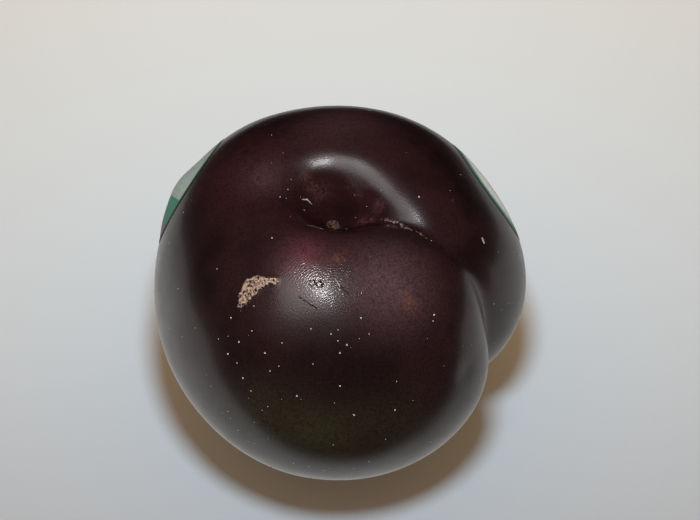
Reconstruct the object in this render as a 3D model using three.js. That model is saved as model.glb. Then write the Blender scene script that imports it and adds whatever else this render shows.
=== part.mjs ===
// A ripe black plum with two small fruit labels. Millimetres, +Z up.
//
// The plum stands stem end up on a small flat, and the origin is the middle of that flat.
// The suture, the groove that runs from the stem cavity down to the blossom end, lies in
// the plane y = 0 on the +X side. The two cheeks face +Y and -Y.

import * as THREE from 'three';
import { mergeVertices } from 'three/addons/utils/BufferGeometryUtils.js';

// ---- Driving dimensions -------------------------------------------------------------

// The body, as half widths from its middle. A cheek or an end may be a little fuller.
const HALF_ACROSS_SUTURE = 33.1;   // along X
const SUTURE_SIDE_FLATTER = 0.8;   // how much less on the suture side, and more behind
const HALF_ACROSS_CHEEKS = 34.1;   // along Y
const CHEEK_FULLER = 0.3;          // how much more on the +Y cheek, and less on the other
const HALF_HEIGHT_STEM_END = 30.7;
const HALF_HEIGHT_BLOSSOM_END = 29.4;
const ROUNDNESS = 1.97;            // 2 is an ellipse, more is squarer

// The small flat that the plum rests on, and where its middle is under the body's middle.
const REST = { depth: 0.7, behind: 1.8 };

// Where the body grew fuller or flatter. Directions are seen from the body's middle.
const SWELLS = [
  { rise: 2.8, azimuth: 152, elevation: 31, reach: 35 },     // the shoulder behind the stem
  { rise: 0.7, azimuth: 89, elevation: 47, reach: 26 },      // high on the +Y cheek
  { rise: -0.4, azimuth: 142, elevation: 44, reach: 17 },
  { rise: -0.6, azimuth: 46, elevation: 30, reach: 16 },
  { rise: 0.45, azimuth: 22, elevation: 15, reach: 22 },     // the lobe beside the suture
  { rise: 0.55, azimuth: -67, elevation: -14, reach: 30 },   // low on the -Y cheek
  { rise: -0.35, azimuth: -136, elevation: 8, reach: 18 },
];

// The stem cavity: a round-bottomed funnel, reaching further behind the stem than in front,
// where it runs out into the suture.
const CAVITY = {
  x: -1.1, y: -1.7, depth: 10.9, radius: 6.2, round: 1.5, steepness: 1.87,
  stretchToSuture: 1.11, stretchBehind: 1.41,
};

// The small pit that the stem left at the bottom of the cavity.
const STEM_SCAR = { radius: 1.8, depth: 0.6, edge: 5 };

// The shallow dimple with the blossom's scar, beside the flat, where the suture ends.
const BLOSSOM_SCAR = { x: 7.2, radius: 2.6, depth: 0.8 };

// The suture: two lobes that roll in to a narrow crease. It's narrower near the stem, opens
// a little where it leaves the cavity, and is shallowest just past that.
const SUTURE = {
  depth: 5.6, lobeWidth: 5.6, creaseRadius: 0.9,
  lobeWidthAtStem: 4.1, widenFrom: 30, widenTo: 75,
  shareAtStem: 0.5, mouth: 0.31, mouthAngle: 18, mouthWidth: 12,
  dip: 0.11, dipAngle: 47, dipWidth: 14,
  fullFrom: 46, fullAt: 88, fadeFrom: 112, fadeTo: 172, shareLeft: 0.2,
};

// The fruit labels: oval film, bent to the skin. Directions are seen from the middle.
const LABEL_LENGTH = 22;
const LABEL_WIDTH = 18.5;
const LABEL_THICKNESS = 0.25;
const LABEL_GAP = 0.15;
const LABELS = [
  { name: 'label_dorsal', azimuth: 177, elevation: 20.6, turn: -56 },
  { name: 'label_cheek', azimuth: 54, elevation: 21.7, turn: 57 },
];

// How finely the surfaces are divided.
const CELLS_PER_FACE = 28;         // the body starts as a ball of six square patches
const CREASE_PULL = { share: 0.5, reach: 0.3 };
const CAVITY_PULL = { share: 0.42, reach: 0.36 };
const LABEL_RINGS = 4;
const LABEL_SIDES = 36;

const MIDDLE = new THREE.Vector3(REST.behind, 0, HALF_HEIGHT_BLOSSOM_END - REST.depth);

// ---- Finishes -----------------------------------------------------------------------

const skin = new THREE.MeshStandardMaterial({ color: 0x2a1419, roughness: 0.38, metalness: 0 });
const film = new THREE.MeshStandardMaterial({ color: 0xd9ded8, roughness: 0.45, metalness: 0 });

// ---- Helpers ------------------------------------------------------------------------

// 0 below from, 1 above to, and a soft step between them.
const softStep = (from, to, value) => THREE.MathUtils.smoothstep(value, from, to);

// A bell of height 1 and the given half width.
const bell = (distance, width) => Math.exp(-((distance / width) ** 2));

function directionAt(azimuth, elevation) {
  const a = THREE.MathUtils.degToRad(azimuth);
  const e = THREE.MathUtils.degToRad(elevation);
  return new THREE.Vector3(Math.cos(a) * Math.cos(e), Math.sin(a) * Math.cos(e), Math.sin(e));
}

// ---- The skin -----------------------------------------------------------------------

// Distance from the middle to the plain body, before the groove and the cavity.
function bodyRadius(d) {
  const acrossSuture = HALF_ACROSS_SUTURE - SUTURE_SIDE_FLATTER * d.x;
  const acrossCheeks = HALF_ACROSS_CHEEKS + CHEEK_FULLER * d.y;
  const meanHeight = (HALF_HEIGHT_STEM_END + HALF_HEIGHT_BLOSSOM_END) / 2;
  const height = meanHeight + (HALF_HEIGHT_STEM_END - meanHeight) * d.z;
  const sum = Math.abs(d.x / acrossSuture) ** ROUNDNESS
    + Math.abs(d.y / acrossCheeks) ** ROUNDNESS
    + Math.abs(d.z / height) ** ROUNDNESS;
  let radius = sum ** (-1 / ROUNDNESS);
  for (const { rise, azimuth, elevation, reach } of SWELLS) {
    const away = THREE.MathUtils.radToDeg(d.angleTo(directionAt(azimuth, elevation)));
    radius += rise * bell(away, reach);
  }
  return radius;
}

// How deep the suture is at a point p of the plain body, in direction d.
function sutureDepth(p, d) {
  const fromStem = THREE.MathUtils.radToDeg(Math.acos(THREE.MathUtils.clamp(d.z, -1, 1)));
  const opening = SUTURE.shareAtStem
    + (1 - SUTURE.shareAtStem) * softStep(SUTURE.fullFrom, SUTURE.fullAt, fromStem)
    + SUTURE.mouth * bell(fromStem - SUTURE.mouthAngle, SUTURE.mouthWidth)
    - SUTURE.dip * bell(fromStem - SUTURE.dipAngle, SUTURE.dipWidth);
  const fading = 1 - (1 - SUTURE.shareLeft) * softStep(SUTURE.fadeFrom, SUTURE.fadeTo, fromStem);
  const onSutureSide = softStep(-3, 8, p.x);
  const fromCrease = Math.hypot(p.y, SUTURE.creaseRadius) - SUTURE.creaseRadius;
  const widened = softStep(SUTURE.widenFrom, SUTURE.widenTo, fromStem);
  const width = THREE.MathUtils.lerp(SUTURE.lobeWidthAtStem, SUTURE.lobeWidth, widened);
  return SUTURE.depth * opening * fading * onSutureSide * Math.exp(-fromCrease / width);
}

// How far the stem cavity and its scar lower a point.
function cavityDepth(p, d) {
  const x = p.x - CAVITY.x;
  const y = p.y - CAVITY.y;
  const towards = (1 + Math.tanh(x / 4)) / 2;
  const stretch = THREE.MathUtils.lerp(CAVITY.stretchBehind, CAVITY.stretchToSuture, towards);
  const out = Math.hypot(x / stretch, y, CAVITY.round);
  const funnel = CAVITY.depth * Math.exp(-((out / CAVITY.radius) ** CAVITY.steepness));
  const pit = STEM_SCAR.depth * Math.exp(-((Math.hypot(x, y) / STEM_SCAR.radius) ** STEM_SCAR.edge));
  return (funnel + pit) * softStep(0, 0.5, d.z);
}

// How far the blossom's dimple lifts the skin at the lower end.
function dimpleDepth(p, d) {
  const out = Math.hypot(p.x - BLOSSOM_SCAR.x, p.y);
  return BLOSSOM_SCAR.depth * bell(out, BLOSSOM_SCAR.radius) * softStep(0, 0.5, -d.z);
}

// The skin in direction d from the plum's middle, with the resting flat cut.
function skinPoint(d) {
  const p = d.clone().multiplyScalar(bodyRadius(d));
  p.addScaledVector(d, -sutureDepth(p, d));
  p.z += dimpleDepth(p, d) - cavityDepth(p, d);
  p.add(MIDDLE);
  p.z = Math.max(p.z, 0);
  return p;
}

// ---- The plum -----------------------------------------------------------------------

// Draws directions closer together at the crease and in the cavity, where the skin bends most.
function gathered(d) {
  const nearSuture = softStep(-0.2, 0.5, d.x);
  d.y *= 1 - CREASE_PULL.share * nearSuture * bell(d.y, CREASE_PULL.reach);
  const x = d.x - CAVITY.x / HALF_HEIGHT_STEM_END;
  const y = d.y - CAVITY.y / HALF_HEIGHT_STEM_END;
  const pull = CAVITY_PULL.share * bell(Math.hypot(x, y), CAVITY_PULL.reach) * softStep(0.3, 0.7, d.z);
  d.x -= pull * x;
  d.y -= pull * y * (1 - nearSuture);
  return d.normalize();
}

function plumGeometry() {
  const box = new THREE.BoxGeometry(2, 2, 2, CELLS_PER_FACE, CELLS_PER_FACE, CELLS_PER_FACE);
  box.deleteAttribute('normal');
  box.deleteAttribute('uv');
  const geometry = mergeVertices(box, 1e-4);
  const points = geometry.attributes.position;
  const d = new THREE.Vector3();
  for (let i = 0; i < points.count; i += 1) {
    d.fromBufferAttribute(points, i);
    d.set(...d.toArray().map((side) => Math.tan((side * Math.PI) / 4))).normalize();
    points.setXYZ(i, ...skinPoint(gathered(d)).toArray());
  }
  geometry.computeVertexNormals();
  return geometry;
}

// ---- A label ------------------------------------------------------------------------

// A thin disc turned on its axis, then laid over the skin as an oval.
function labelGeometry({ azimuth, elevation, turn }) {
  const profile = [];
  for (let ring = 0; ring <= LABEL_RINGS; ring += 1) profile.push(new THREE.Vector2(ring / LABEL_RINGS, 0));
  for (let ring = LABEL_RINGS; ring >= 0; ring -= 1) profile.push(new THREE.Vector2(ring / LABEL_RINGS, 1));
  const disc = new THREE.LatheGeometry(profile, LABEL_SIDES);
  disc.deleteAttribute('normal');
  disc.deleteAttribute('uv');
  const geometry = mergeVertices(disc, 1e-4);

  const out = directionAt(azimuth, elevation);
  const east = new THREE.Vector3(0, 0, 1).cross(out).normalize();
  const north = out.clone().cross(east);
  const angle = THREE.MathUtils.degToRad(turn);
  const along = north.clone().multiplyScalar(Math.cos(angle)).addScaledVector(east, Math.sin(angle));
  const across = along.clone().cross(out);
  const radius = bodyRadius(out);

  const points = geometry.attributes.position;
  for (let i = 0; i < points.count; i += 1) {
    const d = out.clone()
      .addScaledVector(along, (points.getX(i) * LABEL_LENGTH) / 2 / radius)
      .addScaledVector(across, (points.getZ(i) * LABEL_WIDTH) / 2 / radius)
      .normalize();
    const lift = LABEL_GAP + LABEL_THICKNESS * points.getY(i);
    points.setXYZ(i, ...skinPoint(d).addScaledVector(d, lift).toArray());
  }
  geometry.computeVertexNormals();
  return geometry;
}

// ---- The model ----------------------------------------------------------------------

const group = new THREE.Group();

const plum = new THREE.Mesh(plumGeometry(), skin);
plum.name = 'plum';
group.add(plum);

for (const label of LABELS) {
  const mesh = new THREE.Mesh(labelGeometry(label), film.clone());
  mesh.name = label.name;
  group.add(mesh);
}

export default group;
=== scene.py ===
# %% [markdown]
# # A ripe black plum
#
# A dark plum stands stem end up on a small flat. Its skin is one closed surface with a deep
# stem cavity and a suture, the groove between its two lobes. Two oval fruit labels lie on it.
# This lesson dresses the plum's plain solid: the skin is refined and scarred, the labels are
# cut from film and laid on, and every surface gets its own procedural finish.

# %% Load the frame
import math
import random

import bmesh
import bpy
import numpy as np
from mathutils import Matrix, Vector, noise
from mathutils.bvhtree import BVHTree


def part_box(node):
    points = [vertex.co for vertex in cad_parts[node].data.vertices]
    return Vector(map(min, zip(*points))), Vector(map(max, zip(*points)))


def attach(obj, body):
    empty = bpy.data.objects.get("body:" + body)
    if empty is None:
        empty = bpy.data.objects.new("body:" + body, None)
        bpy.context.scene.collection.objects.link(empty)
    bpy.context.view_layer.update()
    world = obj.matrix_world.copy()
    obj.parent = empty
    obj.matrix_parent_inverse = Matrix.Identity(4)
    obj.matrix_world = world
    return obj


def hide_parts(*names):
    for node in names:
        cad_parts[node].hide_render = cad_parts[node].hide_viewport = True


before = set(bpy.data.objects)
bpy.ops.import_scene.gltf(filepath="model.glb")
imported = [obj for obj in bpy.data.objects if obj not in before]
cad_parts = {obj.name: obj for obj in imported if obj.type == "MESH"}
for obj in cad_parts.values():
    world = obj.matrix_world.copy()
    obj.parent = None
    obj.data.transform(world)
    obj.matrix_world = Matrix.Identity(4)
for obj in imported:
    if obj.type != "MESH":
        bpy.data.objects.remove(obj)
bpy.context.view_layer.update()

MM = 0.001
plum_low, plum_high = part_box("plum")
print("the plain plum is", [round((high - low) / MM, 1) for low, high in zip(plum_low, plum_high)], "mm")

# %% [markdown]
# ## The camera
#
# The camera comes first, because the marks on the skin are placed through it. It looks down at
# the plum, turned a little away from the suture, and it has a long lens, so that the fruit
# keeps its true outline. A shift of the lens moves the fruit in the view without turning it.

# %% Camera
FRUIT_MIDDLE = Vector((1.8, 0.0, 28.7)) * MM
VIEW_AZIMUTH = math.radians(24.7)
VIEW_ELEVATION = math.radians(51.0)
VIEW_DISTANCE = 288 * MM
VIEW_SIZE = (700, 520)
MIDDLE_PIXEL = (344.2, 295.4)
LENS, SENSOR = 83.0, 36.0
FOCAL_PIXELS = LENS / SENSOR * VIEW_SIZE[0]


def direction(azimuth, elevation):
    flat = math.cos(elevation)
    return Vector((math.sin(azimuth) * flat, -math.cos(azimuth) * flat, math.sin(elevation)))


towards_camera = direction(VIEW_AZIMUTH, VIEW_ELEVATION)
view_turn = towards_camera.to_track_quat("Z", "Y")
camera_place = FRUIT_MIDDLE + towards_camera * VIEW_DISTANCE

camera_data = bpy.data.cameras.new("camera")
camera_data.lens, camera_data.sensor_width = LENS, SENSOR
camera_data.shift_x = (VIEW_SIZE[0] / 2 - MIDDLE_PIXEL[0]) / VIEW_SIZE[0]
camera_data.shift_y = (MIDDLE_PIXEL[1] - VIEW_SIZE[1] / 2) / VIEW_SIZE[0]
camera = bpy.data.objects.new("camera", camera_data)
camera.location = camera_place
camera.rotation_mode = "QUATERNION"
camera.rotation_quaternion = view_turn
bpy.context.scene.collection.objects.link(camera)
bpy.context.scene.camera = camera
print("camera at", [round(v / MM) for v in camera_place], "mm")

# %% [markdown]
# ## From a pixel to a place
#
# A mark on a fruit is easiest to place where it shows in the 700 by 520 view. A ray
# from the camera through that pixel meets the skin at the mark's real place. A tree of the
# solid's faces finds that point without trying them all.

# %% Find a pixel's place on the skin
solid_tree = BVHTree.FromObject(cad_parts["plum"], bpy.context.evaluated_depsgraph_get())
PIXEL = VIEW_DISTANCE / FOCAL_PIXELS      # the width of one pixel at the fruit's middle


def ray_through(pixel):
    x = (pixel[0] - MIDDLE_PIXEL[0]) / FOCAL_PIXELS
    y = (MIDDLE_PIXEL[1] - pixel[1]) / FOCAL_PIXELS
    return (view_turn @ Vector((x, y, -1))).normalized()


def on_skin(pixel):
    place, _, _, _ = solid_tree.ray_cast(camera_place, ray_through(pixel))
    if place is None:
        raise ValueError(f"nothing is under {pixel}")
    return place


print("one pixel is", round(PIXEL / MM, 3), "mm")

# %% [markdown]
# ## Working by hand in code
#
# Every operator acts on what is selected, so each step first selects only what it should
# change. These helpers do what a hand does: pick one object, apply a modifier, open edit mode
# for a few steps, and turn the faces of a shape outwards.

# %% Helpers for modelling
def pick(obj):
    bpy.ops.object.select_all(action="DESELECT")
    obj.select_set(True)
    bpy.context.view_layer.objects.active = obj
    return obj


def apply_modifier(obj, kind, **settings):
    modifier = obj.modifiers.new(kind.lower(), kind)
    for name, value in settings.items():
        setattr(modifier, name, value)
    pick(obj)
    bpy.ops.object.modifier_apply(modifier=modifier.name)


def edit(obj, *actions):
    pick(obj)
    bpy.ops.object.mode_set(mode="EDIT")
    bpy.ops.mesh.select_all(action="SELECT")
    for act in actions:
        act()
    bpy.ops.object.mode_set(mode="OBJECT")


def face_outwards():
    bpy.ops.mesh.normals_make_consistent(inside=False)


def settle(obj):
    """Leaves the object at the origin, with its place in its mesh."""
    pick(obj)
    bpy.ops.object.transform_apply(location=True, rotation=True, scale=True)


# %% [markdown]
# ## The skin
#
# The skin must fit its solid exactly, so it starts as a copy of it. The solid is faceted in
# triangles. Paired back into four-sided faces, they make a clean cage, and a Subdivision
# Surface turns that cage into a smooth skin with no facets in its gloss.

# %% Skin from the solid
SAME_POINT = 0.001 * MM
ANY_ANGLE = math.pi

skin = bpy.data.objects.new("plum_skin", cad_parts["plum"].data.copy())
bpy.context.scene.collection.objects.link(skin)
edit(
    skin,
    lambda: bpy.ops.mesh.remove_doubles(threshold=SAME_POINT),
    lambda: bpy.ops.mesh.tris_convert_to_quads(face_threshold=ANY_ANGLE, shape_threshold=ANY_ANGLE),
    face_outwards,
)
four_sided = sum(len(face.vertices) == 4 for face in skin.data.polygons)
print("cage:", len(skin.data.polygons), "faces,", four_sided, "with four sides")
apply_modifier(skin, "SUBSURF", levels=2, render_levels=2)
print("skin:", len(skin.data.vertices), "points")

# %% [markdown]
# ## Marks on the skin
#
# A fruit's marks are what make it one fruit and no other. Each is a path of points with a
# half width at each point, all in pixels of the view. A banana-shaped corky scar sits on the
# left cheek, a thin corky line follows the suture out of the cavity, small pale flecks show
# where the skin was rubbed or pecked, and two dark scratches cross the front. One pale path,
# along the near lip of the cavity, is a painted highlight: the glint on the lip's edge.

# %% Paths of the marks
CORKY_SCAR = [
    ((240.3, 305.5), 2.0), ((243.2, 299.5), 5.2), ((247.5, 292.5), 7.6), ((251.5, 287), 8.4),
    ((257.5, 283), 6.8), ((263, 281.8), 4.8), ((268, 281.2), 3.2), ((276, 281.2), 2.9),
]
SUTURE_CORK = [
    [((379, 220), 0.8), ((388, 219.5), 1.5), ((398, 223.5), 2.2)],
    [((400, 225), 2.0), ((406, 228), 2.8), ((411, 230), 1.6)],
    [((416, 231.5), 1.3), ((421, 234.5), 2.2), ((426, 238), 1.3)],
]
PALE_FLECKS_AND_LIP_GLINT = [
    [((302, 199.5), 0.4), ((307, 199.5), 0.7), ((312, 204.5), 0.3)],
    [((304, 210), 0.6), ((304.6, 210.4), 0.6)],
    # painted highlight: the glint along the near lip of the cavity, drawn as a pale path
    [((307, 224.5), 0.3), ((314, 226), 0.5), ((321, 228.5), 0.5), ((325, 229), 0.3)],
    [((482.8, 238.5), 1.2), ((484.3, 242.5), 1.2)],
    [((334.5, 278), 0.3), ((338.5, 284), 0.7), ((340, 287), 0.4)],
    [((342.3, 294), 0.6), ((343, 294.6), 0.6)],
]
SCRATCHES = [
    [((299, 297), 0.2), ((308, 303), 0.4), ((317, 308.5), 0.2)],
    [((340, 285.5), 0.2), ((348, 293.5), 0.3)],
]


def laid_on_skin(path):
    return [(on_skin(pixel), width * PIXEL) for pixel, width in path]


corky_scar = laid_on_skin(CORKY_SCAR)
suture_cork = [laid_on_skin(path) for path in SUTURE_CORK]
pale_flecks_and_lip_glint = [laid_on_skin(path) for path in PALE_FLECKS_AND_LIP_GLINT]
scratches = [laid_on_skin(path) for path in SCRATCHES]
scar_length = (corky_scar[0][0] - corky_scar[-1][0]).length
print("the corky scar is", round(scar_length / MM, 1), "mm from end to end")

# %% [markdown]
# ## Moving points by a formula
#
# Some shapes are too fine and too uneven to push about by hand. Then the points of a mesh are
# read as a list, moved by a formula and written back. Smooth noise gives the unevenness, and a
# soft step fades an effect in or out without leaving an edge.

# %% Helpers for points
def vertex_values(obj, name):
    flat = np.empty(len(obj.data.vertices) * 3)
    obj.data.vertices.foreach_get(name, flat)
    return flat.reshape(-1, 3)


def points_of(obj):
    return vertex_values(obj, "co")


def set_points(obj, points):
    obj.data.vertices.foreach_set("co", points.ravel())
    obj.data.update()


def soft_step(low, high, value):
    t = np.clip((value - low) / (high - low), 0, 1)
    return t * t * (3 - 2 * t)


def noise_at(points, size, seed=0.0):
    """Smooth noise from -1 to 1, with lumps about as wide as size."""
    return np.array([noise.noise(Vector(p) / size + Vector((seed, 0, 0))) for p in points])


def depth_inside(points, path):
    """How far each point is inside a path laid on the skin, in metres, and negative outside."""
    deepest = np.full(len(points), -1.0)
    for (start, start_width), (end, end_width) in zip(path, path[1:]):
        along = np.array(end - start)
        share = np.clip((points - np.array(start)) @ along / (along @ along), 0, 1)
        nearest = np.array(start) + share[:, None] * along
        width = start_width + (end_width - start_width) * share
        deepest = np.maximum(deepest, width - np.linalg.norm(points - nearest, axis=1))
    return deepest


# %% [markdown]
# ## Relief
#
# A real skin is never quite even. The form swells and sinks by a tenth of a millimetre or so
# over a centimetre, which is enough to bend a highlight. The corky scar stands up from it in
# small crumbs, and a shallow dent lies low on the front lobe, near the suture. At the flat that
# the plum rests on the unevenness fades out, so that the skin still meets the table.

# %% Raise and sink the skin
UNEVEN = {"size": 11 * MM, "height": 0.16 * MM}
EVEN_BELOW = 4 * MM
CRUMBS = {"size": 0.55 * MM, "height": 0.14 * MM}
CORK_HEIGHT = 0.16 * MM
SCAR_EDGE = 0.25 * MM
DENT = {"pixel": (467, 372), "radius": 1.8 * MM, "depth": 0.15 * MM}

points, normals = points_of(skin), vertex_values(skin, "normal")
above_rest = soft_step(0.0, EVEN_BELOW, points[:, 2])
scar_share = soft_step(-SCAR_EDGE, SCAR_EDGE, depth_inside(points, corky_scar))
on_scar = scar_share > 0
crumbs = np.zeros(len(points))
crumbs[on_scar] = noise_at(points[on_scar], CRUMBS["size"], seed=7.0)
from_dent = np.linalg.norm(points - np.array(on_skin(DENT["pixel"])), axis=1)

height = UNEVEN["height"] * noise_at(points, UNEVEN["size"]) * above_rest
height += scar_share * (CORK_HEIGHT + CRUMBS["height"] * crumbs)
height -= DENT["depth"] * np.exp(-((from_dent / DENT["radius"]) ** 2))
set_points(skin, points + normals * height[:, None])
print("relief from", round(height.min() / MM, 2), "to", round(height.max() / MM, 2), "mm")

# %% [markdown]
# ## The stem scar
#
# At the bottom of the cavity the stem broke away and left a small corky button with the ends
# of its fibres showing. It is a disc, inset into rings, raised near its rim, let down at its
# edge and roughened where the fibres were. A ray dropped into the cavity finds its place.

# %% Stem scar
STEM_RADIUS, STEM_THICKNESS = 1.35 * MM, 0.5 * MM
ABOVE_STEM = Vector((0.7 * MM, -2.2 * MM, 70 * MM))
STEM_PROUD = 0.25 * MM
STEM_RINGS = (0.3 * MM, 0.3 * MM, 0.3 * MM, 0.25 * MM)
STEM_RIM = {"from_middle": 0.72, "width": 0.2, "height": 0.45 * MM}
STEM_FIBRES = {"size": 0.4 * MM, "height": 0.22 * MM}
STEM_EDGE = {"from_middle": 0.75, "fall": 0.5 * MM}


def inset_middle(obj, thickness):
    """Insets the one many-sided face in the middle of a disc."""
    edit(obj, lambda: bpy.ops.mesh.select_all(action="DESELECT"))
    max(obj.data.polygons, key=lambda face: len(face.vertices)).select = True
    bpy.ops.object.mode_set(mode="EDIT")
    bpy.ops.mesh.inset(thickness=thickness)
    bpy.ops.object.mode_set(mode="OBJECT")


cavity_bottom = solid_tree.ray_cast(ABOVE_STEM, Vector((0, 0, -1)))[0]
stem_place = cavity_bottom + Vector((0, 0, STEM_PROUD))
bpy.ops.mesh.primitive_circle_add(
    vertices=40, radius=STEM_RADIUS, fill_type="NGON", location=stem_place
)
stem_scar = bpy.context.object
stem_scar.name = "stem_scar"
settle(stem_scar)
for thickness in STEM_RINGS:
    inset_middle(stem_scar, thickness)
edit(stem_scar, bpy.ops.mesh.poke)
apply_modifier(stem_scar, "SUBSURF", levels=1, render_levels=1)

points = points_of(stem_scar)
out = np.linalg.norm(points[:, :2] - np.array(stem_place)[:2], axis=1) / STEM_RADIUS
rim = np.exp(-(((out - STEM_RIM["from_middle"]) / STEM_RIM["width"]) ** 2))
points[:, 2] += STEM_RIM["height"] * rim
points[:, 2] += STEM_FIBRES["height"] * noise_at(points_of(stem_scar), STEM_FIBRES["size"], seed=3.0)
points[:, 2] -= STEM_EDGE["fall"] * soft_step(STEM_EDGE["from_middle"], 1.0, out)
set_points(stem_scar, points)
apply_modifier(stem_scar, "SOLIDIFY", thickness=STEM_THICKNESS, offset=-1)
print("stem scar at", [round(v / MM, 1) for v in stem_place], "mm")

# %% [markdown]
# ## Lenticels
#
# Lenticels are the pores that a plum breathes through. Each is a pale, slightly raised dot of
# cork. The brightest are about a third of a millimetre wide, and most are half that or less. One
# is modelled as a low dome and copied: first to where the brightest show, and then over the
# rest of the fruit by a seeded draw, thinner near the stem, as they grow.

# %% One lenticel
LENTICEL_RADIUS = 0.14 * MM
LENTICEL_FLATNESS = 0.45

bpy.ops.mesh.primitive_uv_sphere_add(segments=8, ring_count=6, radius=LENTICEL_RADIUS)
lenticels = bpy.context.object
lenticels.name = "lenticels"
edit(
    lenticels,
    lambda: bpy.ops.mesh.bisect(
        plane_co=(0, 0, -LENTICEL_RADIUS / 3), plane_no=(0, 0, 1), clear_inner=True, use_fill=True
    ),
    lambda: bpy.ops.transform.resize(value=(1, 1, LENTICEL_FLATNESS)),
)
dome = lenticels.data.copy()
print("one lenticel has", len(dome.polygons), "faces")

# %% Lenticels all over
BRIGHT_LENTICELS = [
    (311, 329), (331, 334), (347, 345), (340, 353), (340, 386), (265, 353), (237, 363), (228, 354),
    (239, 342), (243, 378), (251, 391), (313, 364), (279, 366), (297, 396), (361, 318), (369, 334),
    (434, 315), (354, 415), (395, 410), (419, 197), (272, 238), (254, 306), (231, 318), (338, 341),
    (433, 321), (270, 371), (338, 330), (282, 343), (252, 331),
]
FAINT_LENTICELS = [(288, 189.5), (291, 179.5), (280, 197)]
FAINT_SIZE = 0.55
BRIGHT_SIZES, DRAWN_SIZES = (0.9, 1.35), (0.3, 0.65)
STRETCHES = (0.7, 1.1)
LENTICEL_COUNT = 420
LOWEST, HIGHEST = -0.95, 1
BARE_AT_STEM, THINNING = 0.75, (0.1, 0.8)
OUTSIDE = 60 * MM
random.seed(11)
skin_tree = BVHTree.FromObject(skin, bpy.context.evaluated_depsgraph_get())


def from_outside(way):
    """Where a ray from outside the fruit towards its middle meets the skin."""
    place, normal, _, _ = skin_tree.ray_cast(FRUIT_MIDDLE + way * OUTSIDE, -way)
    return place, normal


def turned_to(normal, angle):
    turn = normal.to_track_quat("Z", "Y") @ Matrix.Rotation(angle, 3, "Z").to_quaternion()
    return turn.to_matrix()


places = []
for pixel in BRIGHT_LENTICELS + FAINT_LENTICELS:
    place, normal, _, _ = skin_tree.ray_cast(camera_place, ray_through(pixel))
    smaller = FAINT_SIZE if pixel in FAINT_LENTICELS else 1.0
    places.append((place, normal, smaller * random.uniform(*BRIGHT_SIZES)))
while len(places) < LENTICEL_COUNT:
    z = random.uniform(LOWEST, HIGHEST)
    turn = random.uniform(0, 2 * math.pi)
    flat = math.sqrt(1 - z * z)
    if random.random() < BARE_AT_STEM * float(soft_step(*THINNING, z)):
        continue
    place, normal = from_outside(Vector((math.cos(turn) * flat, math.sin(turn) * flat, z)))
    places.append((place, normal, random.uniform(*DRAWN_SIZES)))

shape = bmesh.new()
for place, normal, size in places:
    first = len(shape.verts)
    shape.from_mesh(dome)
    shape.verts.ensure_lookup_table()
    stretch = Matrix.Diagonal((size, size * random.uniform(*STRETCHES), size))
    turn = turned_to(normal, random.uniform(0, math.pi)) @ stretch
    for vertex in shape.verts[first:]:
        vertex.co = place + turn @ vertex.co
shape.to_mesh(lenticels.data)
shape.free()
print(len(places), "lenticels,", len(lenticels.data.polygons), "faces")

# %% [markdown]
# ## The labels
#
# Each label is an oval of printed film, 22 mm long, pressed on by a thumb. It is cut from a flat
# disc, and rings of faces let it follow the fruit later. While it is still flat it gets a chart
# of its own shape, a UV map, so that its print stays where it was printed.

# %% Cut the labels
LABEL_SIDES, LABEL_RINGS = 72, 9


def cut_label(name):
    """A flat disc with a radius of 1, rings of faces and a chart for its print."""
    bpy.ops.mesh.primitive_circle_add(vertices=LABEL_SIDES, radius=1, fill_type="NGON")
    label = bpy.context.object
    label.name = "film_" + name
    for _ in range(LABEL_RINGS):
        inset_middle(label, 1 / (LABEL_RINGS + 1))
    edit(label, face_outwards)
    flat = points_of(label)
    chart = label.data.uv_layers.new(name="chart")
    for corner in label.data.loops:
        x, y, _ = flat[corner.vertex_index]
        chart.data[corner.index].uv = ((x + 1) / 2, (y + 1) / 2)
    return label


labels = {name: cut_label(name) for name in ("label_dorsal", "label_cheek")}
print(len(labels), "labels of", len(labels["label_dorsal"].data.polygons), "faces each")

# %% [markdown]
# ## Laying the labels on
#
# Film can't bend two ways at once, so a label lies tight over most of the fruit and lifts in a
# small pleat or two. Each of its points is laid on the skin along a ray towards the fruit's
# middle. A Shrinkwrap would do that too, but with the rays the lift of the pleats goes on in
# the same step. The film gets its thickness last.

# %% Lay the labels on the skin
LABEL_LENGTH, LABEL_WIDTH = 22 * MM, 18.5 * MM
LABEL_FROM_MIDDLE = 33 * MM
FILM_THICKNESS = 0.09 * MM
FILM_GAP = 0.05 * MM
PRESSED_EDGE, PRESSED_SHARE = 0.72, 0.75
PLACINGS = {
    "label_dorsal": {"azimuth": 177, "elevation": 20.6, "turn": -56},
    "label_cheek": {"azimuth": 54, "elevation": 21.7, "turn": 57},
}
PLEATS = {
    "label_dorsal": [((0.0, 0.30), (0.36, 0.45), 0.9 * MM), ((-0.50, 0.25), (0.42, 0.45), 0.5 * MM)],
    "label_cheek": [((-0.2, -0.4), (0.5, 0.3), 0.10 * MM)],
}


def label_axes(azimuth, elevation, turn):
    """The label's outward direction, and those of its length and its width."""
    a, e, t = (math.radians(v) for v in (azimuth, elevation, turn))
    out = Vector((math.cos(a) * math.cos(e), math.sin(a) * math.cos(e), math.sin(e)))
    east = Vector((0, 0, 1)).cross(out).normalized()
    north = out.cross(east)
    along = north * math.cos(t) + east * math.sin(t)
    return out, along, along.cross(out)


def lift_at(x, y, pleats):
    """How far the film stands off the skin at a place on the flat disc."""
    pressed = 1 - PRESSED_SHARE * float(soft_step(PRESSED_EDGE, 1.0, math.hypot(x, y)))
    lift = FILM_GAP
    for (pleat_x, pleat_y), (reach_x, reach_y), height in pleats:
        far = ((x - pleat_x) / reach_x) ** 2 + ((y - pleat_y) / reach_y) ** 2
        lift += height * math.exp(-far) * pressed
    return lift


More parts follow.
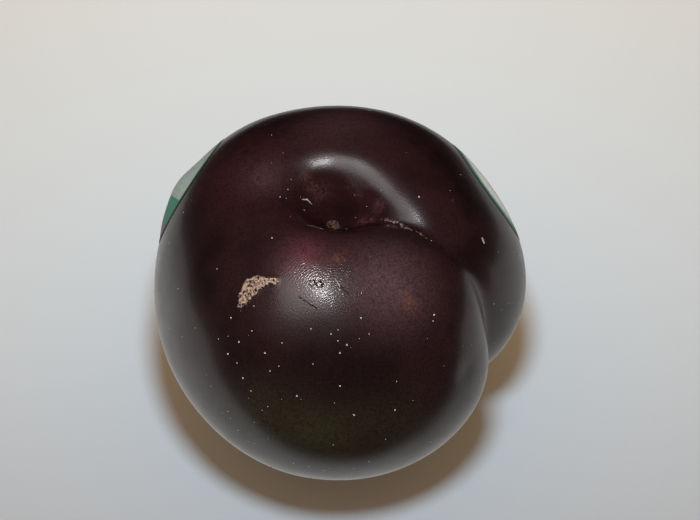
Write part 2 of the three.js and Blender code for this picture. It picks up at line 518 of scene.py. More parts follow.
def lay_label(label, axes, pleats):
    out, along, across = axes
    laid = points_of(label)
    for i, (x, y, _) in enumerate(points_of(label)):
        sideways = along * (x * LABEL_LENGTH / 2) + across * (y * LABEL_WIDTH / 2)
        way = (out * LABEL_FROM_MIDDLE + sideways).normalized()
        laid[i] = from_outside(way)[0] + way * lift_at(x, y, pleats)
    set_points(label, laid)


for name, label in labels.items():
    lay_label(label, label_axes(**PLACINGS[name]), PLEATS[name])
    apply_modifier(label, "SOLIDIFY", thickness=FILM_THICKNESS, offset=1)
    edit(label, face_outwards)
    print(label.name, len(label.data.polygons), "faces")

# %% [markdown]
# ## Smooth shading
#
# Fruit has no hard edges, so the skin is shaded smooth all over. The film keeps its cut edge,
# because only faces that meet at a low angle are smoothed there.

# %% Shading
FILM_EDGE_ANGLE = math.radians(40)

for obj in (skin, lenticels, stem_scar):
    pick(obj)
    bpy.ops.object.shade_smooth()
for label in labels.values():
    pick(label)
    bpy.ops.object.shade_smooth_by_angle(angle=FILM_EDGE_ANGLE)
print(sum(face.use_smooth for face in skin.data.polygons), "smooth faces on the skin")

# %% [markdown]
# ## Building blocks for the finishes
#
# A material is a small network. These helpers add a node, join its inputs and hand back its
# output, so that each finish below reads from top to bottom as a recipe.

# %% Node helpers
def new_material(name):
    material = bpy.data.materials.new(name)
    material.use_nodes = True
    tree = material.node_tree
    return material, tree, tree.nodes["Principled BSDF"]


def give(tree, value, socket):
    """Sets a socket to a plain value, or joins another node's output to it."""
    if isinstance(value, bpy.types.NodeSocket):
        tree.links.new(value, socket)
    else:
        socket.default_value = value


def add(tree, kind, inputs=None, **settings):
    made = tree.nodes.new("ShaderNode" + kind)
    for name, value in settings.items():
        setattr(made, name, value)
    for name, value in (inputs or {}).items():
        give(tree, value, made.inputs[name])
    return made


def sums(tree, operation, *values):
    return add(tree, "Math", dict(enumerate(values)), operation=operation).outputs[0]


def vectors(tree, operation, *values):
    return add(tree, "VectorMath", dict(enumerate(values)), operation=operation)


def largest(tree, values):
    most = values[0]
    for value in values[1:]:
        most = sums(tree, "MAXIMUM", most, value)
    return most


def step(tree, value, low, high):
    """0 below low, 1 above high, and a soft step between."""
    ends = {"Value": value, "From Min": low, "From Max": high}
    return add(tree, "MapRange", ends, interpolation_type="SMOOTHSTEP").outputs["Result"]


def blend(tree, share, under, over):
    made = add(tree, "Mix", data_type="RGBA")
    for socket, value in ((made.inputs[0], share), (made.inputs[6], under), (made.inputs[7], over)):
        give(tree, value, socket)
    return made.outputs[2]


def blend_value(tree, share, under, over):
    return add(tree, "Mix", {0: share, 2: under, 3: over}, data_type="FLOAT").outputs[0]


def colour(red, green, blue):
    return (red, green, blue, 1.0)


# %% [markdown]
# ## Patterns
#
# Every pattern starts from the place on the object, so it stays put when the view moves. Noise
# gives clouds and crumbs, and it can also push the place about, which makes the edge of a mark
# ragged. The distance from a centre gives a soft round spot.

# %% Patterns from noise and distance
def object_place(tree):
    return add(tree, "TexCoord").outputs["Object"]


def cloud(tree, place, size, detail=3.0, roughness=0.55, offset=(0, 0, 0)):
    """Noise from 0 to 1 whose lumps are about as wide as size."""
    moved = add(tree, "Mapping", {"Vector": place, "Location": offset}).outputs[0]
    settings = {"Vector": moved, "Scale": 1 / size, "Detail": detail, "Roughness": roughness}
    return add(tree, "TexNoise", settings).outputs["Fac"]


def jitter(tree, place, size, reach):
    """The place pushed about by noise."""
    settings = {"Vector": place, "Scale": 1 / size, "Detail": 2.0}
    moved = vectors(tree, "MULTIPLY", add(tree, "TexNoise", settings).outputs["Color"], (reach,) * 3)
    moved = vectors(tree, "ADD", place, moved.outputs[0])
    return vectors(tree, "SUBTRACT", moved.outputs[0], (reach / 2,) * 3).outputs[0]


def fade(tree, place, centre, radius):
    """1 at the centre and less further out, and how many radii away the place is."""
    away = vectors(tree, "DISTANCE", place, centre).outputs["Value"]
    radii = sums(tree, "DIVIDE", away, radius)
    falling = sums(tree, "MULTIPLY", sums(tree, "MULTIPLY", radii, radii), -1.0)
    return sums(tree, "EXPONENT", falling), radii


# %% [markdown]
# ## Marks as node groups
#
# The scar, the flecks and the scratches are strokes: a point is inside one where it is nearer
# to a line than the stroke's half width. The ring scars and the coloured patches are spots. Both
# become node groups, so a spot, or each straight stretch of a stroke, is one node with its own
# place and width.

# %% Node groups for strokes and spots
def new_group(name, inputs, outputs):
    group = bpy.data.node_groups.new(name, "ShaderNodeTree")
    for label, kind in inputs:
        group.interface.new_socket(name=label, in_out="INPUT", socket_type="NodeSocket" + kind)
    for label, kind in outputs:
        group.interface.new_socket(name=label, in_out="OUTPUT", socket_type="NodeSocket" + kind)
    return group, group.nodes.new("NodeGroupInput").outputs, group.nodes.new("NodeGroupOutput").inputs


def stroke_group():
    ends = [("Start", "Vector"), ("End", "Vector"), ("Start Width", "Float"), ("End Width", "Float")]
    group, given, result = new_group("stroke", [("Place", "Vector"), *ends], [("Inside", "Float")])
    whole = vectors(group, "SUBTRACT", given["End"], given["Start"]).outputs[0]
    from_start = vectors(group, "SUBTRACT", given["Place"], given["Start"]).outputs[0]
    reached = vectors(group, "DOT_PRODUCT", from_start, whole).outputs["Value"]
    length = vectors(group, "DOT_PRODUCT", whole, whole).outputs["Value"]
    share = sums(group, "MAXIMUM", sums(group, "DIVIDE", reached, length), 0.0)
    share = sums(group, "MINIMUM", share, 1.0)
    nearest = add(group, "VectorMath", {0: whole, "Scale": share}, operation="SCALE").outputs[0]
    away = vectors(group, "DISTANCE", from_start, nearest).outputs["Value"]
    width = blend_value(group, share, given["Start Width"], given["End Width"])
    inside = sums(group, "SUBTRACT", width, away)
    group.links.new(sums(group, "MULTIPLY", inside, 1 / MM), result["Inside"])
    return group


def spot_group():
    sockets = [("Place", "Vector"), ("Centre", "Vector"), ("Radius", "Float")]
    group, given, result = new_group("spot", sockets, [("Share", "Float"), ("Out", "Float")])
    share, radii = fade(group, given["Place"], given["Centre"], given["Radius"])
    group.links.new(share, result["Share"])
    group.links.new(radii, result["Out"])
    return group


STROKE, SPOT = stroke_group(), spot_group()


def strokes(tree, place, paths):
    """How far a place is inside the nearest of some paths, in millimetres."""
    insides = []
    for path in paths:
        for (start, start_width), (end, end_width) in zip(path, path[1:]):
            sizes = {"Start": start, "End": end, "Start Width": start_width, "End Width": end_width}
            made = add(tree, "Group", node_tree=STROKE)
            for name, value in {"Place": place, **sizes}.items():
                give(tree, value, made.inputs[name])
            insides.append(made.outputs["Inside"])
    return largest(tree, insides)


def spot(tree, place, pixel, radius, output="Share"):
    made = add(tree, "Group", node_tree=SPOT)
    for name, value in {"Place": place, "Centre": on_skin(pixel), "Radius": radius}.items():
        give(tree, value, made.inputs[name])
    return made.outputs[output]


print("groups:", STROKE.name, "and", SPOT.name)

# %% [markdown]
# ## The skin's colour
#
# A black plum is not black. Its flesh shows dimly through a deep red-brown skin, olive where
# it ripened last and red where the sun reached it. The colour is built from the base up: two
# browns in broad clouds, then soft patches, each broken up by noise, and last a fine dark
# mottle over all of it. Small patches get a ragged edge, because a smooth one looks painted.
# Some patches are painted light and shade: red and mauve glow and sheen near the highlights,
# a darker low front, and a cavity darkened over its own red.

# %% Skin colour
RED_BROWN = colour(0.0215, 0.0066, 0.0072)
BLACK_RED = colour(0.0105, 0.0036, 0.0038)
OLIVE = colour(0.0400, 0.0360, 0.0160)
# also a painted glow beside the main highlight
SUN_RED_AND_GLOW = colour(0.1100, 0.0290, 0.0320)
RUST = colour(0.170, 0.062, 0.030)
# also a painted sheen and highlight near the cavity and on the front
MAUVE_AND_SHEEN = colour(0.082, 0.039, 0.042)
WINE = colour(0.0400, 0.0105, 0.0120)
# painted shade: the cavity's colours are darkened where shade falls in the recess
CAVITY_RED_AND_SHADE = colour(0.0200, 0.0044, 0.0048)
CAVITY_SHADE = colour(0.0075, 0.0022, 0.0020)
DEEP_RED = colour(0.0040, 0.0012, 0.0013)

BEND_SIZE, BEND_REACH = 1.1 * MM, 0.9 * MM
BROAD_CLOUD, FINE_CLOUD = 9 * MM, 0.5 * MM

skin_material, tree, surface = new_material("waxed_skin")
place = object_place(tree)
bent = jitter(tree, place, BEND_SIZE, BEND_REACH)
broad = cloud(tree, place, BROAD_CLOUD)
fine = cloud(tree, place, FINE_CLOUD, detail=4.0, roughness=0.7)
shade = blend(tree, step(tree, broad, 0.35, 0.7), RED_BROWN, BLACK_RED)
print("base colour between", RED_BROWN[:3], "and", BLACK_RED[:3])

# %% Coloured patches
PATCHES = [
    (OLIVE, (320, 434), 7.5 * MM, 0.95),
    (OLIVE, (262, 415), 7 * MM, 0.50),
    (OLIVE, (390, 425), 7 * MM, 0.45),
    # painted glow: a red tint in the glow round the main highlight, and up to its left red skin that
    # also stands in for the window lamp's soft reflection
    (SUN_RED_AND_GLOW, (298, 280), 7.0 * MM, 0.22),
    (SUN_RED_AND_GLOW, (304, 259), 3.6 * MM, 0.72),
    (RUST, (339, 258), 1.2 * MM, 0.40),
    # mauve blush that is partly a painted sheen, a broad soft haze of gloss
    (MAUVE_AND_SHEEN, (388, 288), 7 * MM, 0.95),
    # painted shade: the low front made darker, where the fruit mirrors little light
    (BLACK_RED, (335, 370), 9 * MM, 0.85),
    (WINE, (238, 176), 9 * MM, 0.80),
    # painted highlight: the faint left end of the bright ring round the cavity
    (MAUVE_AND_SHEEN, (264, 178), 3.5 * MM, 0.50),
    (MAUVE_AND_SHEEN, (340, 118), 8 * MM, 0.42),
    (RUST, (404, 297), 0.8 * MM, 0.35),
    (RUST, (409, 303), 0.9 * MM, 0.70),
    (RUST, (415, 308), 0.7 * MM, 0.35),
    (RUST, (393, 284), 0.45 * MM, 0.55),
    (RUST, (399, 290), 0.4 * MM, 0.30),
    # painted shade in the cavity: a darker red over its own red, and three darker spots
    (CAVITY_RED_AND_SHADE, (340, 200), 9 * MM, 0.90),
    (CAVITY_SHADE, (346, 212), 2.6 * MM, 0.80),
    (CAVITY_SHADE, (300, 196), 1.8 * MM, 0.70),
    (CAVITY_SHADE, (322, 210), 1.8 * MM, 0.55),
    (MAUVE_AND_SHEEN, (380, 204), 1.2 * MM, 0.45),
    (MAUVE_AND_SHEEN, (352, 184), 1.3 * MM, 0.25),
    (SUN_RED_AND_GLOW, (309, 187), 1.3 * MM, 0.15),
    (RUST, (305, 177), 0.8 * MM, 0.40),
    (RUST, (312, 186), 1.0 * MM, 0.22),
    (RUST, (318, 196), 1.0 * MM, 0.20),
    (SUN_RED_AND_GLOW, (376, 211), 0.8 * MM, 0.30),
    (SUN_RED_AND_GLOW, (363, 223), 1.1 * MM, 0.50),
    (RUST, (372, 221), 0.5 * MM, 0.45),
    (MAUVE_AND_SHEEN, (360, 195), 0.9 * MM, 0.30),
    (MAUVE_AND_SHEEN, (324, 190), 1.4 * MM, 0.25),
]
SMALL_PATCH = 2 * MM
PATCH_CLOUD = 1.0 * MM
MOTTLE_SIZE, MOTTLE_STRENGTH = 0.33 * MM, 0.42

clouds = cloud(tree, place, PATCH_CLOUD, detail=4.0, roughness=0.6, offset=(0.3, 0, 0))
break_up = step(tree, clouds, 0.0, 0.62)
speckle = step(tree, fine, 0.36, 0.62)
for tint, pixel, radius, strength in PATCHES:
    small = radius < SMALL_PATCH
    share = sums(tree, "MULTIPLY", spot(tree, bent if small else place, pixel, radius), strength)
    share = sums(tree, "MULTIPLY", share, speckle if small else break_up)
    shade = blend(tree, share, shade, tint)

mottle = cloud(tree, place, MOTTLE_SIZE, detail=2.0, roughness=0.7, offset=(0.1, 0, 0.6))
mottled = sums(tree, "MULTIPLY", step(tree, mottle, 0.40, 0.66), MOTTLE_STRENGTH)
shade = blend(tree, mottled, shade, DEEP_RED)
print(len(PATCHES), "patches of colour")

# %% [markdown]
# ## Cork, flecks and scratches
#
# Where a plum's skin is hurt while it grows, it heals with cork: tan crumbs with paler tops and
# dark pits between them. The same stroke paths that raised the scar now colour it, with a
# ragged edge. The seam of the suture breaks up into short bits, two insect marks have left
# dark rings, and a scratch is only a darker line.

# %% Cork, seam and flecks
CORK_TAN = colour(0.13, 0.062, 0.038)
CORK_PALE = colour(0.42, 0.29, 0.22)
CORK_HOLE = colour(0.022, 0.009, 0.006)
FLECK_AND_GLINT = colour(0.46, 0.36, 0.32)
SEAM_TAN = colour(0.27, 0.175, 0.15)
CRUMB_SIZE, PIT_SPACING, SEAM_BIT = 0.42 * MM, 0.62 * MM, 0.36 * MM
RAGGED, SEAM_RAGGED, FLECK_AND_GLINT_RAGGED = 1.1, 0.6, 0.18
# Where each stroke begins and is full, in millimetres inside its outline.
SCAR_EDGES, SEAM_EDGES = (-0.10, 0.10), (-0.05, 0.12)
FLECK_AND_GLINT_EDGES, SCRATCH_EDGES = (-0.06, 0.06), (-0.08, 0.02)

ragged = sums(tree, "MULTIPLY", sums(tree, "SUBTRACT", fine, 0.5), RAGGED)
scar = step(tree, sums(tree, "ADD", strokes(tree, bent, [corky_scar]), ragged), *SCAR_EDGES)
crumb = cloud(tree, place, CRUMB_SIZE, detail=3.0, roughness=0.7, offset=(0, 0.5, 0))
cork_colour = blend(tree, step(tree, crumb, 0.40, 0.60), CORK_TAN, CORK_PALE)
pits = add(tree, "TexVoronoi", {"Vector": bent, "Scale": 1 / PIT_SPACING, "Randomness": 1.0})
cork_colour = blend(tree, step(tree, pits.outputs["Distance"], 0.46, 0.28), cork_colour, CORK_HOLE)

seam_edge = sums(tree, "MULTIPLY", ragged, SEAM_RAGGED)
seam = step(tree, sums(tree, "ADD", strokes(tree, place, suture_cork), seam_edge), *SEAM_EDGES)
seam_bits = step(tree, cloud(tree, place, SEAM_BIT, offset=(0, 0, 0.2)), 0.44, 0.58)
seam = sums(tree, "MULTIPLY", seam, seam_bits)
# the pale paths include the painted highlight on the cavity's near lip
fleck_and_glint_edge = sums(tree, "MULTIPLY", ragged, FLECK_AND_GLINT_RAGGED)
fleck_and_glint = step(tree, sums(tree, "ADD", strokes(tree, place, pale_flecks_and_lip_glint), fleck_and_glint_edge), *FLECK_AND_GLINT_EDGES)
scratch = step(tree, strokes(tree, place, scratches), *SCRATCH_EDGES)
print(len(suture_cork), "bits of seam,", len(pale_flecks_and_lip_glint), "flecks,", len(scratches), "scratches")

# %% Ring scars, and the marks laid over the colour
RINGS = [((312.0, 283.3), 0.44 * MM), ((319.5, 284.3), 0.50 * MM)]
RING_BEND_SIZE, RING_BEND_REACH = 0.45 * MM, 0.7 * MM
SEAM_STRENGTH, FLECK_AND_GLINT_STRENGTH, RING_STRENGTH = 0.65, 0.75, 0.7

ring_place = jitter(tree, place, RING_BEND_SIZE, RING_BEND_REACH)
rings = []
for pixel, radius in RINGS:
    radii = spot(tree, ring_place, pixel, radius, output="Out")
    off_ring = sums(tree, "ABSOLUTE", sums(tree, "SUBTRACT", radii, 1.0))
    rings.append(step(tree, off_ring, 0.24, 0.04))
ring = sums(tree, "MULTIPLY", largest(tree, rings), step(tree, crumb, 0.38, 0.52))

for share, tint in (
    (scar, cork_colour),
    (sums(tree, "MULTIPLY", seam, SEAM_STRENGTH), SEAM_TAN),
    (sums(tree, "MULTIPLY", fleck_and_glint, FLECK_AND_GLINT_STRENGTH), FLECK_AND_GLINT),
    (scratch, BLACK_RED),
    (sums(tree, "MULTIPLY", ring, RING_STRENGTH), CORK_HOLE),
):
    shade = blend(tree, share, shade, tint)
tree.links.new(shade, surface.inputs["Base Color"])
print(len(RINGS), "ring scars")

# %% [markdown]
# ## Wax
#
# Over the colour lies the plum's natural wax: a broad soft gloss from the skin itself, and over
# it a thinner, sharper one, as a coat. Cork has no wax. The cavity, which no hand or leaf ever
# polished, is dull too, and two round balls set in it mark it off from the rest of the skin. The
# shoulder behind the stem is rubbed brightest. The exported model keeps no map for the specular
# level or the coat's roughness, so no group feeds those two.

# %% Skin gloss
CAVITY_BALLS = [((-1.5 * MM, -1.0 * MM, 51 * MM), 8 * MM), ((5.5 * MM, 0.8 * MM, 51 * MM), 5.5 * MM)]
CAVITY_DULLNESS = 0.92
RUBBED_SIZE = 3.5 * MM
WAX_ROUGHNESS, DULL_ROUGHNESS = (0.30, 0.36), 0.85
WAX_SPECULAR, DULL_SPECULAR = 0.46, 0.04
WAX_IOR, COAT_IOR = 1.45, 1.4
COAT_WEIGHT, SHOULDER_COAT = 0.53, 0.95
COAT_ROUGHNESS, SOFT_COAT_ROUGHNESS = 0.13, 0.21
SHOULDER = ((378, 178), 6.5 * MM)
SOFT_SPOT = ((321, 163), 2.5 * MM)

cork = largest(tree, [scar, ring, seam, fleck_and_glint])
balls = [fade(tree, place, middle, radius)[0] for middle, radius in CAVITY_BALLS]
in_cavity = step(tree, largest(tree, balls), 0.38, 0.62)
cavity_dull = sums(tree, "MULTIPLY", in_cavity, CAVITY_DULLNESS)
dull = sums(tree, "MAXIMUM", cork, cavity_dull)

rubbed = cloud(tree, place, RUBBED_SIZE, detail=4.0, offset=(0.7, 0, 0))
roughness = blend_value(tree, step(tree, rubbed, 0.3, 0.7), *WAX_ROUGHNESS)
roughness = blend_value(tree, dull, roughness, DULL_ROUGHNESS)
specular = blend_value(tree, cavity_dull, WAX_SPECULAR, DULL_SPECULAR)

shoulder, soft_spot = (
    fade(tree, place, on_skin(pixel), reach)[0] for pixel, reach in (SHOULDER, SOFT_SPOT)
)
softened = sums(tree, "MAXIMUM", shoulder, soft_spot)
coat_roughness = blend_value(tree, softened, COAT_ROUGHNESS, SOFT_COAT_ROUGHNESS)
coat = blend_value(tree, shoulder, COAT_WEIGHT, SHOULDER_COAT)
coat = blend_value(tree, sums(tree, "MAXIMUM", cork, in_cavity), coat, 0.0)

for socket, value in {
    "Roughness": roughness, "Specular IOR Level": specular, "IOR": WAX_IOR,
    "Coat Weight": coat, "Coat Roughness": coat_roughness, "Coat IOR": COAT_IOR,
}.items():
    give(tree, value, surface.inputs[socket])
print("coat from", COAT_WEIGHT, "to", SHOULDER_COAT, "on the shoulder")

# %% [markdown]
# ## Fine relief
#
# Up close the wax is grained, and a ripe plum that has begun to lose water wrinkles in fine
# arcs. Both are far too fine to model, so they go in as bump. The arcs are rings about a middle
# low on the front, bent by noise, and they show only in a few places. All heights are in
# millimetres.

# %% Skin fine relief
GRAIN_SIZE = 0.30 * MM
GRAIN_HEIGHT, FRONT_GRAIN_HEIGHT = 0.014, 0.020
FRONT = ((320, 290), 8 * MM)
WAVE_MIDDLE = (335, 310)
WAVE_STEP = 0.42 * MM
WAVE_HEIGHT = 0.015
RINGS_PER_UNIT = 20 / (2 * math.pi)      # how many rings the texture draws at a scale of 1
RIGHT_WRINKLES, RIGHT_STRENGTH = ((368, 268), 7 * MM), 1.3
UPPER_WRINKLES = ((303, 268), 3.2 * MM)
LOWER_WRINKLES, LOWER_STRENGTH = ((408, 298), 4 * MM), 0.8
SCRATCH_DEPTH = 0.06
CRUMB_HEIGHT = 0.22

from_wave_middle = vectors(tree, "SUBTRACT", bent, on_skin(WAVE_MIDDLE)).outputs[0]
wave_settings = {"Scale": 1 / (RINGS_PER_UNIT * WAVE_STEP), "Distortion": 7.0, "Detail": 3.0}
waves = add(
    tree, "TexWave", {"Vector": from_wave_middle, **wave_settings},
    wave_type="RINGS", rings_direction="SPHERICAL",
).outputs["Fac"]
right = sums(tree, "MULTIPLY", spot(tree, place, *RIGHT_WRINKLES), step(tree, broad, 0.30, 0.55))
right = sums(tree, "MULTIPLY", right, RIGHT_STRENGTH)
lower = sums(tree, "MULTIPLY", spot(tree, place, *LOWER_WRINKLES), LOWER_STRENGTH)
wrinkled = largest(tree, [right, spot(tree, place, *UPPER_WRINKLES), lower])

grain = cloud(tree, place, GRAIN_SIZE, detail=2.0, roughness=0.6, offset=(0, 0.9, 0))
grain_height = blend_value(tree, spot(tree, place, *FRONT), GRAIN_HEIGHT, FRONT_GRAIN_HEIGHT)
skin_height = sums(tree, "MULTIPLY", grain, grain_height)
for part, share in (
    (sums(tree, "MULTIPLY", waves, wrinkled), WAVE_HEIGHT),
    (scratch, -SCRATCH_DEPTH),
    (sums(tree, "MULTIPLY", cork, crumb), CRUMB_HEIGHT),
):
    skin_height = sums(tree, "ADD", skin_height, sums(tree, "MULTIPLY", part, share))
bump = add(tree, "Bump", {"Height": skin_height, "Strength": 1.0, "Distance": MM})
tree.links.new(bump.outputs[0], surface.inputs["Normal"])
tree.links.new(bump.outputs[0], surface.inputs["Coat Normal"])
skin.data.materials.clear()
skin.data.materials.append(skin_material)
print("skin finish:", len(tree.nodes), "nodes")

# %% [markdown]
# ## Dead cork
#
# The lenticels and the stem scar are dead, corky tissue: dry and rough, pale on the lenticels
# and nearly black where the stem broke off. One recipe does for both, with its own two tints
# and its own size of crumb.

# %% Cork finishes
CORK_ROUGHNESS = 0.8
CORK_RELIEF = 0.15 * MM
LENTICEL_CRUMB, STEM_CRUMB = 0.2 * MM, 0.5 * MM
LENTICEL_TINTS = (colour(0.30, 0.24, 0.22), colour(0.62, 0.55, 0.52))
STEM_TINTS = (colour(0.016, 0.006, 0.004), colour(0.095, 0.042, 0.024))


def cork_material(name, tints, crumb_size):
    material, tree, surface = new_material(name)
    crumbs = cloud(tree, object_place(tree), crumb_size, detail=4.0, roughness=0.7)
    tree.links.new(blend(tree, step(tree, crumbs, 0.35, 0.65), *tints), surface.inputs["Base Color"])
    bump = add(tree, "Bump", {"Height": crumbs, "Strength": 1.0, "Distance": CORK_RELIEF})
    tree.links.new(bump.outputs[0], surface.inputs["Normal"])
    surface.inputs["Roughness"].default_value = CORK_ROUGHNESS
    return material


lenticels.data.materials.append(cork_material("lenticel_cork", LENTICEL_TINTS, LENTICEL_CRUMB))
stem_scar.data.materials.append(cork_material("stem_cork", STEM_TINTS, STEM_CRUMB))
print("cork on", lenticels.name, "and", stem_scar.name)

# %% [markdown]
# ## Label film
#
# The print is generic. The label opposite the suture is pale with a green band, a violet end
# and a dark green edge. The one on the cheek is white with a green rim that darkens to the same
# edge. Each is drawn on the label's own chart, so the print keeps its place on the bent film.

# %% Film finish
FILM_GREEN = colour(0.045, 0.20, 0.135)
FILM_DEEP = colour(0.006, 0.035, 0.020)
FILM_VIOLET = colour(0.17, 0.095, 0.20)
SECOND_WHITE = 0.85
INK_SIZE, WEAR_SIZE, WEAR_RELIEF = 0.6 * MM, 2.5 * MM, 0.3 * MM
FILM_ROUGHNESS, FILM_SPECULAR = (0.35, 0.5), 0.2
BAND_EDGE, RIM_EDGE = 0.02, 0.14
DEEP_EDGE_FROM, DEEP_EDGE_TO = 0.92, 0.95
PRINTS = {
    "label_dorsal": {
        "white": (0.31, 0.38, 0.355), "bands": [(0.20, FILM_GREEN), (0.64, FILM_VIOLET)], "rim": 0.90,
    },
    "label_cheek": {"white": (0.66, 0.72, 0.72), "bands": [], "rim": 0.72},
}


def film_material(name, white, bands, rim):
    material, tree, surface = new_material(name)
    chart = add(tree, "UVMap", uv_map="chart").outputs[0]
    centred = vectors(tree, "SUBTRACT", chart, (0.5, 0.5, 0)).outputs[0]
    centred = vectors(tree, "MULTIPLY", centred, (2, 2, 0)).outputs[0]
    out = vectors(tree, "LENGTH", centred).outputs["Value"]
    lengthwise = add(tree, "SeparateXYZ", {0: centred}).outputs["X"]
    to_the_end = sums(tree, "MULTIPLY", lengthwise, -1.0)

    second = colour(*(SECOND_WHITE * part for part in white))
    ink = step(tree, cloud(tree, object_place(tree), INK_SIZE), 0.3, 0.7)
    shade = blend(tree, ink, colour(*white), second)
    for begins, tint in bands:
        shade = blend(tree, step(tree, to_the_end, begins, begins + BAND_EDGE), shade, tint)
    shade = blend(tree, step(tree, out, rim, rim + RIM_EDGE), shade, FILM_GREEN)
    shade = blend(tree, step(tree, out, DEEP_EDGE_FROM, DEEP_EDGE_TO), shade, FILM_DEEP)
    tree.links.new(shade, surface.inputs["Base Color"])

    wear = cloud(tree, object_place(tree), WEAR_SIZE)
    tree.links.new(blend_value(tree, wear, *FILM_ROUGHNESS), surface.inputs["Roughness"])
    surface.inputs["Specular IOR Level"].default_value = FILM_SPECULAR
    bump = add(tree, "Bump", {"Height": wear, "Strength": 0.5, "Distance": WEAR_RELIEF})
    tree.links.new(bump.outputs[0], surface.inputs["Normal"])
    return material


for name, label in labels.items():
    label.data.materials.append(film_material(name + "_film", **PRINTS[name]))
    print(name, "has", len(PRINTS[name]["bands"]), "bands")

# %% [markdown]
# ## The table
#
# The plum stands on a plain pale table. The table's tone rises from near to far, dark near the
# camera and bright and bluish far off. That is painted light and shade, because the lamp hangs
# on the near side and would light it too strongly there. It lies a hair below the plum's flat,
# because two faces in one plane flicker.

# %% Table
RIGHTWARDS = (math.cos(VIEW_AZIMUTH), math.sin(VIEW_AZIMUTH), 0)
BACKWARDS = (-math.sin(VIEW_AZIMUTH), math.cos(VIEW_AZIMUTH), 0)
TABLE_SIZE = 3.0
TABLE_GAP = 0.02 * MM
TABLE_ROUGHNESS = 0.6
TABLE_NEAR_SHADE, TABLE_FAR_LIGHT = colour(0.310, 0.298, 0.303), colour(0.87, 0.95, 1.0)
NEAR_FROM, FAR_FROM = -60 * MM, 110 * MM


def far_along(tree, place, way):
    """How far a place lies along a direction, in metres."""
    return vectors(tree, "DOT_PRODUCT", place, way).outputs["Value"]


bpy.ops.mesh.primitive_plane_add(size=TABLE_SIZE)
floor = bpy.context.object
floor.name = "floor"
floor.location.z = -TABLE_GAP
floor_material, tree, surface = new_material("pale_table")
# painted light and shade: the table darkens towards the camera and turns bluish far off
behind = far_along(tree, object_place(tree), BACKWARDS)
depth = add(tree, "MapRange", {"Value": behind, "From Min": NEAR_FROM, "From Max": FAR_FROM})
tone = blend(tree, depth.outputs["Result"], TABLE_NEAR_SHADE, TABLE_FAR_LIGHT)
tree.links.new(tone, surface.inputs["Base Color"])
surface.inputs["Roughness"].default_value = TABLE_ROUGHNESS
floor.data.materials.append(floor_material)
floor.visible_glossy = False
print("table", TABLE_SIZE, "m wide")

# %% [markdown]
# ## What the fruit mirrors
#
# A dark glossy fruit shows its surroundings, so what it mirrors is part of its look: a wide
# bright strip of table low down, and darkness above. A card just above the table, seen only by
# reflections, stands for that strip. It is dimmer at the right, close to the fruit and at the
# back, and its front edge is soft and comes nearer at the left.

# %% Reflecting card
CARD_WIDTH = 700 * MM
CARD_FRONT, CARD_BACK = -90 * MM, 125 * MM
CARD_HEIGHT = 0.2 * MM
CARD_LIGHT = colour(1.0, 0.99, 0.97)
LEFT_LIGHT, RIGHT_LIGHT, TURNS_RIGHT = 0.66, 0.52, (-20 * MM, 60 * MM)
NEAR_LIGHT, NEAR_REACH = 0.80, (30 * MM, 75 * MM)
BACK_LIGHT, BACK_REACH = 0.62, (-20 * MM, 110 * MM)
EDGE_SLANT, SLANT_REACH = 18 * MM, (-100 * MM, 20 * MM)
FRONT_EDGE = (-53 * MM, -37 * MM)

bpy.ops.mesh.primitive_plane_add(size=1.0)
card = bpy.context.object
card.name = "reflector_card"
card.scale = (CARD_WIDTH, CARD_BACK - CARD_FRONT, 1)
card.rotation_euler = (0, 0, VIEW_AZIMUTH)
card.location = Vector(BACKWARDS) * (CARD_FRONT + CARD_BACK) / 2 + Vector((0, 0, CARD_HEIGHT))
settle(card)

card_material = bpy.data.materials.new("card_light")
card_material.use_nodes = True
tree = card_material.node_tree
tree.nodes.clear()
card_place = object_place(tree)
right = far_along(tree, card_place, RIGHTWARDS)
back = far_along(tree, card_place, BACKWARDS)
away = vectors(tree, "LENGTH", card_place).outputs["Value"]
slant = blend_value(tree, step(tree, right, *SLANT_REACH), EDGE_SLANT, 0.0)
strength = blend_value(tree, step(tree, right, *TURNS_RIGHT), LEFT_LIGHT, RIGHT_LIGHT)
for factor in (
    blend_value(tree, step(tree, away, *NEAR_REACH), NEAR_LIGHT, 1.0),
    blend_value(tree, step(tree, back, *BACK_REACH), 1.0, BACK_LIGHT),
    step(tree, sums(tree, "ADD", back, slant), *FRONT_EDGE),
):
    strength = sums(tree, "MULTIPLY", strength, factor)
glow = add(tree, "Emission", {"Color": CARD_LIGHT, "Strength": strength})
tree.links.new(glow.outputs[0], add(tree, "OutputMaterial").inputs["Surface"])
card.data.materials.append(card_material)
for way in ("camera", "diffuse", "transmission", "volume_scatter", "shadow"):
    setattr(card, "visible_" + way, False)
print("card from", round(CARD_FRONT / MM), "to", round(CARD_BACK / MM), "mm")

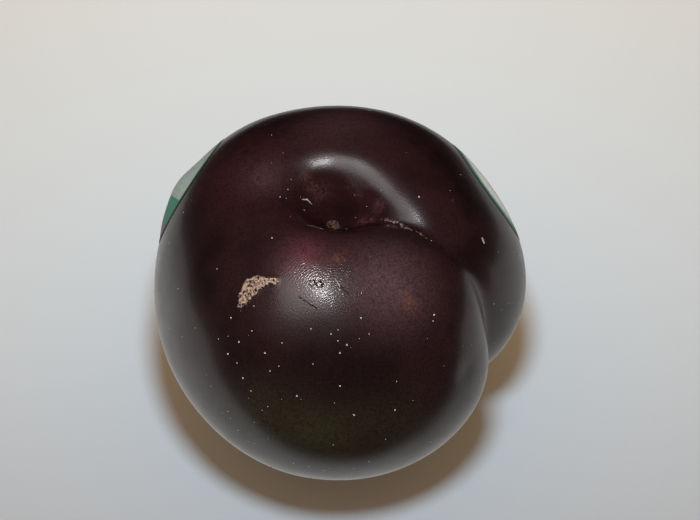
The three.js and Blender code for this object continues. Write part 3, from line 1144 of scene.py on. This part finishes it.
# %% [markdown]
# ## The lamps
#
# One small lamp above the camera's side lights the fruit and the table, and throws the warm
# shadow that the dim room fills. The two bright shapes in the wax come from two more lamps that
# only reflections see, a small round one and a wide one like a window. Parting what lights from
# what is mirrored lets each be set by itself, as a studio does with flags and cards.

# %% Lights
WORLD_COLOUR = colour(1.0, 0.61, 0.27)
WORLD_STRENGTH = 0.47
LAMPS = {
    "overhead": {"turn": -1, "elevation": 70.5, "distance": 0.235, "size": 0.041, "power": 0.68},
    "key": {"turn": -21.5, "elevation": 62.3, "distance": 0.50, "size": 0.045, "power": 0.56},
    "window": {"turn": -45, "elevation": 55, "distance": 0.90, "size": 0.42, "power": 1.05},
}
LIGHTS_THINGS = ("overhead",)
LIT_COLOUR, MIRRORED_COLOUR = (0.68, 0.86, 1.0), (1.0, 0.98, 0.99)

world = bpy.data.worlds.new("dim_room")
bpy.context.scene.world = world
world.use_nodes = True
background = world.node_tree.nodes["Background"]
background.inputs["Color"].default_value = WORLD_COLOUR
background.inputs["Strength"].default_value = WORLD_STRENGTH
world.cycles_visibility.glossy = False


def lamp(name, turn, elevation, distance, size, power):
    lights = name in LIGHTS_THINGS
    data = bpy.data.lights.new(name, "AREA")
    data.shape, data.size, data.energy = "DISK", size, power
    data.color = LIT_COLOUR if lights else MIRRORED_COLOUR
    obj = bpy.data.objects.new(name, data)
    aim = direction(VIEW_AZIMUTH + math.radians(turn), math.radians(elevation))
    obj.location = FRUIT_MIDDLE + aim * distance
    obj.rotation_mode = "QUATERNION"
    obj.rotation_quaternion = aim.to_track_quat("Z", "Y")
    obj.visible_diffuse, obj.visible_glossy = lights, not lights
    bpy.context.scene.collection.objects.link(obj)


for name, settings in LAMPS.items():
    lamp(name, **settings)
    print(name, "lamp", settings["distance"], "m away")
bpy.context.scene.view_settings.view_transform = "Standard"

# %% [markdown]
# ## Fasten the pieces to the frame
#
# The skin and the labels stand for their plain solids, and the small corky pieces ride along.

# %% Ride and replace
pieces = {skin: "skin", lenticels: "skin", stem_scar: "skin"}
pieces.update({label: "label_film" for label in labels.values()})
for piece, slot in pieces.items():
    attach(piece, "root")
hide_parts("plum")
for name, label in labels.items():
    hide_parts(name)

bpy.context.view_layer.update()
